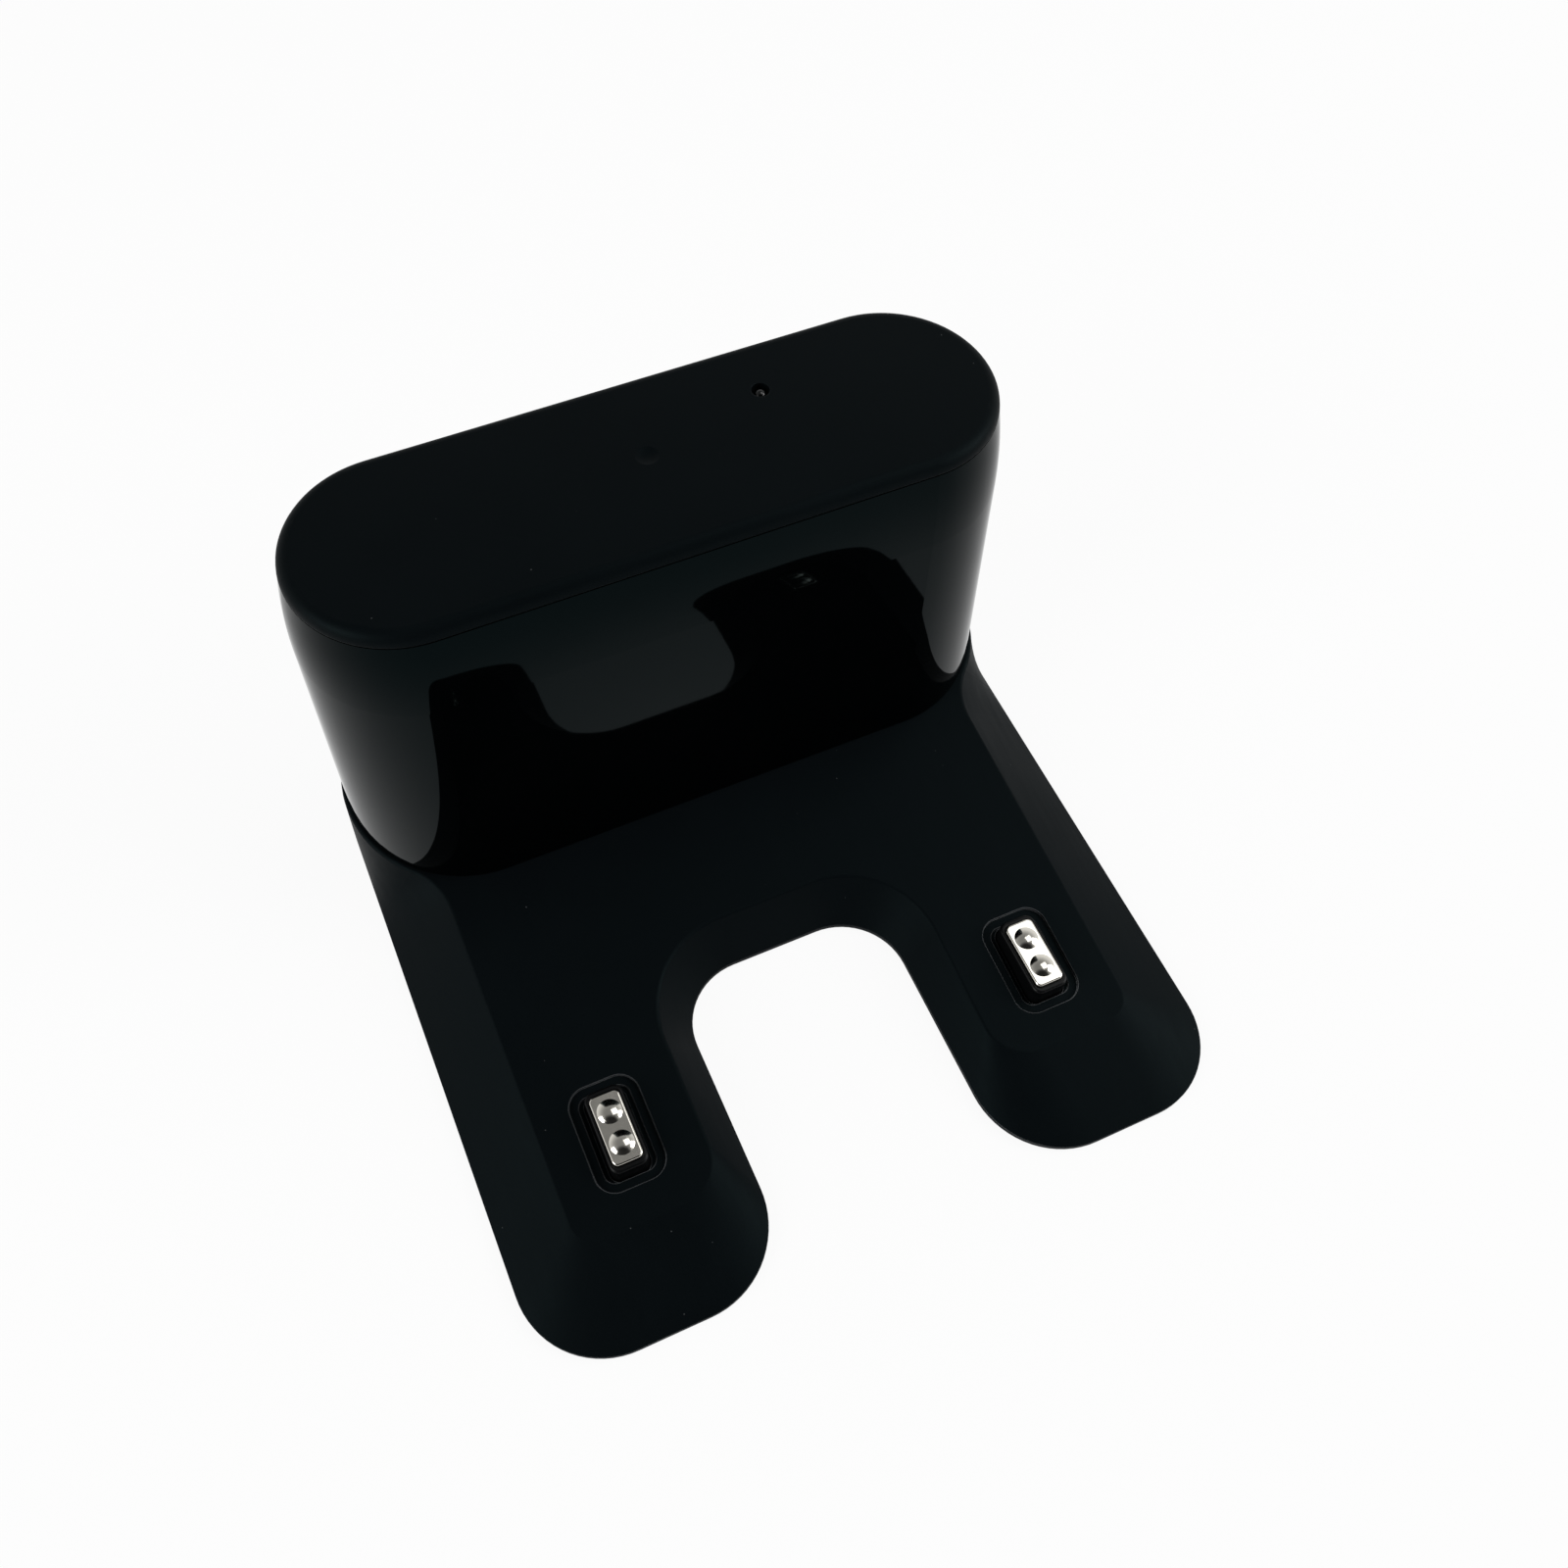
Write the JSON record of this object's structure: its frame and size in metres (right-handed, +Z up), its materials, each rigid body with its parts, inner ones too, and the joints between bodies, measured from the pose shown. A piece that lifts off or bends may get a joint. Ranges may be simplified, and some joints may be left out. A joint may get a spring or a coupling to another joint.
{
  "type": "robot vacuum charging dock",
  "caption": "Charging dock for a robot vacuum: low sloping base with a notch between its arms, sprung contacts on the arms, and a glossy stadium-shaped tower with a lens in its cap.",
  "frame": {"origin": "on the floor, below the middle of the footprint", "axes": "+Z up; -Y is the front, where the robot drives on; +X is to the right seen from the front"},
  "size_m": [0.15, 0.1532, 0.0893],
  "materials": {
    "base_matte": "fine matte moulding",
    "cap_matte": "fine matte moulding",
    "sleeve_gloss": "polished, dark to the eye",
    "carrier_black": "satin",
    "nickel": "bright nickel plate",
    "rubber_black": "matte",
    "plate_black": "coarse matte moulding",
    "lens_clear": "clear",
    "board_green": "solder mask",
    "steel": "zinc plated",
    "brass_strip": "bright",
    "frame_grey": "moulded",
    "inlet_black": "moulded",
    "lead_red": "insulated wire",
    "lead_black": "insulated wire",
    "tape_yellow": "winding tape",
    "can_dark": "shrink sleeve",
    "ferrite": "ferrite",
    "fuse_tan": "moulded",
    "emitter_clear": "clear resin",
    "lamp_white": "diffuse"
  },
  "bodies": {
    "dock": {"base_cover": "base_matte", "bottom_plate": "plate_black", "rubber_feet": "rubber_black", "base_screws": "steel", "tower_sleeve": "sleeve_gloss", "top_cap": "cap_matte", "indicator_lens": "lens_clear", "indicator_board": "board_green", "indicator_led": "lamp_white", "contact_spring_left": "steel", "contact_spring_right": "steel", "contact_terminal_left": "brass_strip", "contact_terminal_right": "brass_strip", "contact_lead_left": "lead_black", "contact_lead_right": "lead_red", "tower_chassis": "frame_grey", "chassis_screws": "steel", "power_board": "board_green", "ir_board": "board_green", "board_screws": "steel", "ir_emitters": "emitter_clear", "ir_shroud": "inlet_black", "mains_inlet": "inlet_black", "inlet_pins": "nickel", "transformer": "tape_yellow", "bulk_capacitor": "can_dark", "line_choke": "ferrite", "output_capacitor": "can_dark", "fuse": "fuse_tan", "rectifier": "ferrite"},
    "left_contact": {"contact_carrier_left": "carrier_black", "contact_plate_left": "nickel"},
    "right_contact": {"contact_carrier_right": "carrier_black", "contact_plate_right": "nickel"}
  },
  "joints": [
    {"name": "left_contact_press", "type": "slide", "parent": "dock", "child": "left_contact", "axis": [0, 0, -1], "range_m": [0, 0.002], "stiffness_N_per_m": 400, "springref_m": -0.001, "deforming": ["contact_spring_left"]},
    {"name": "right_contact_press", "type": "slide", "parent": "dock", "child": "right_contact", "axis": [0, 0, -1], "range_m": [0, 0.002], "stiffness_N_per_m": 400, "springref_m": -0.001, "deforming": ["contact_spring_right"]}
  ]
}
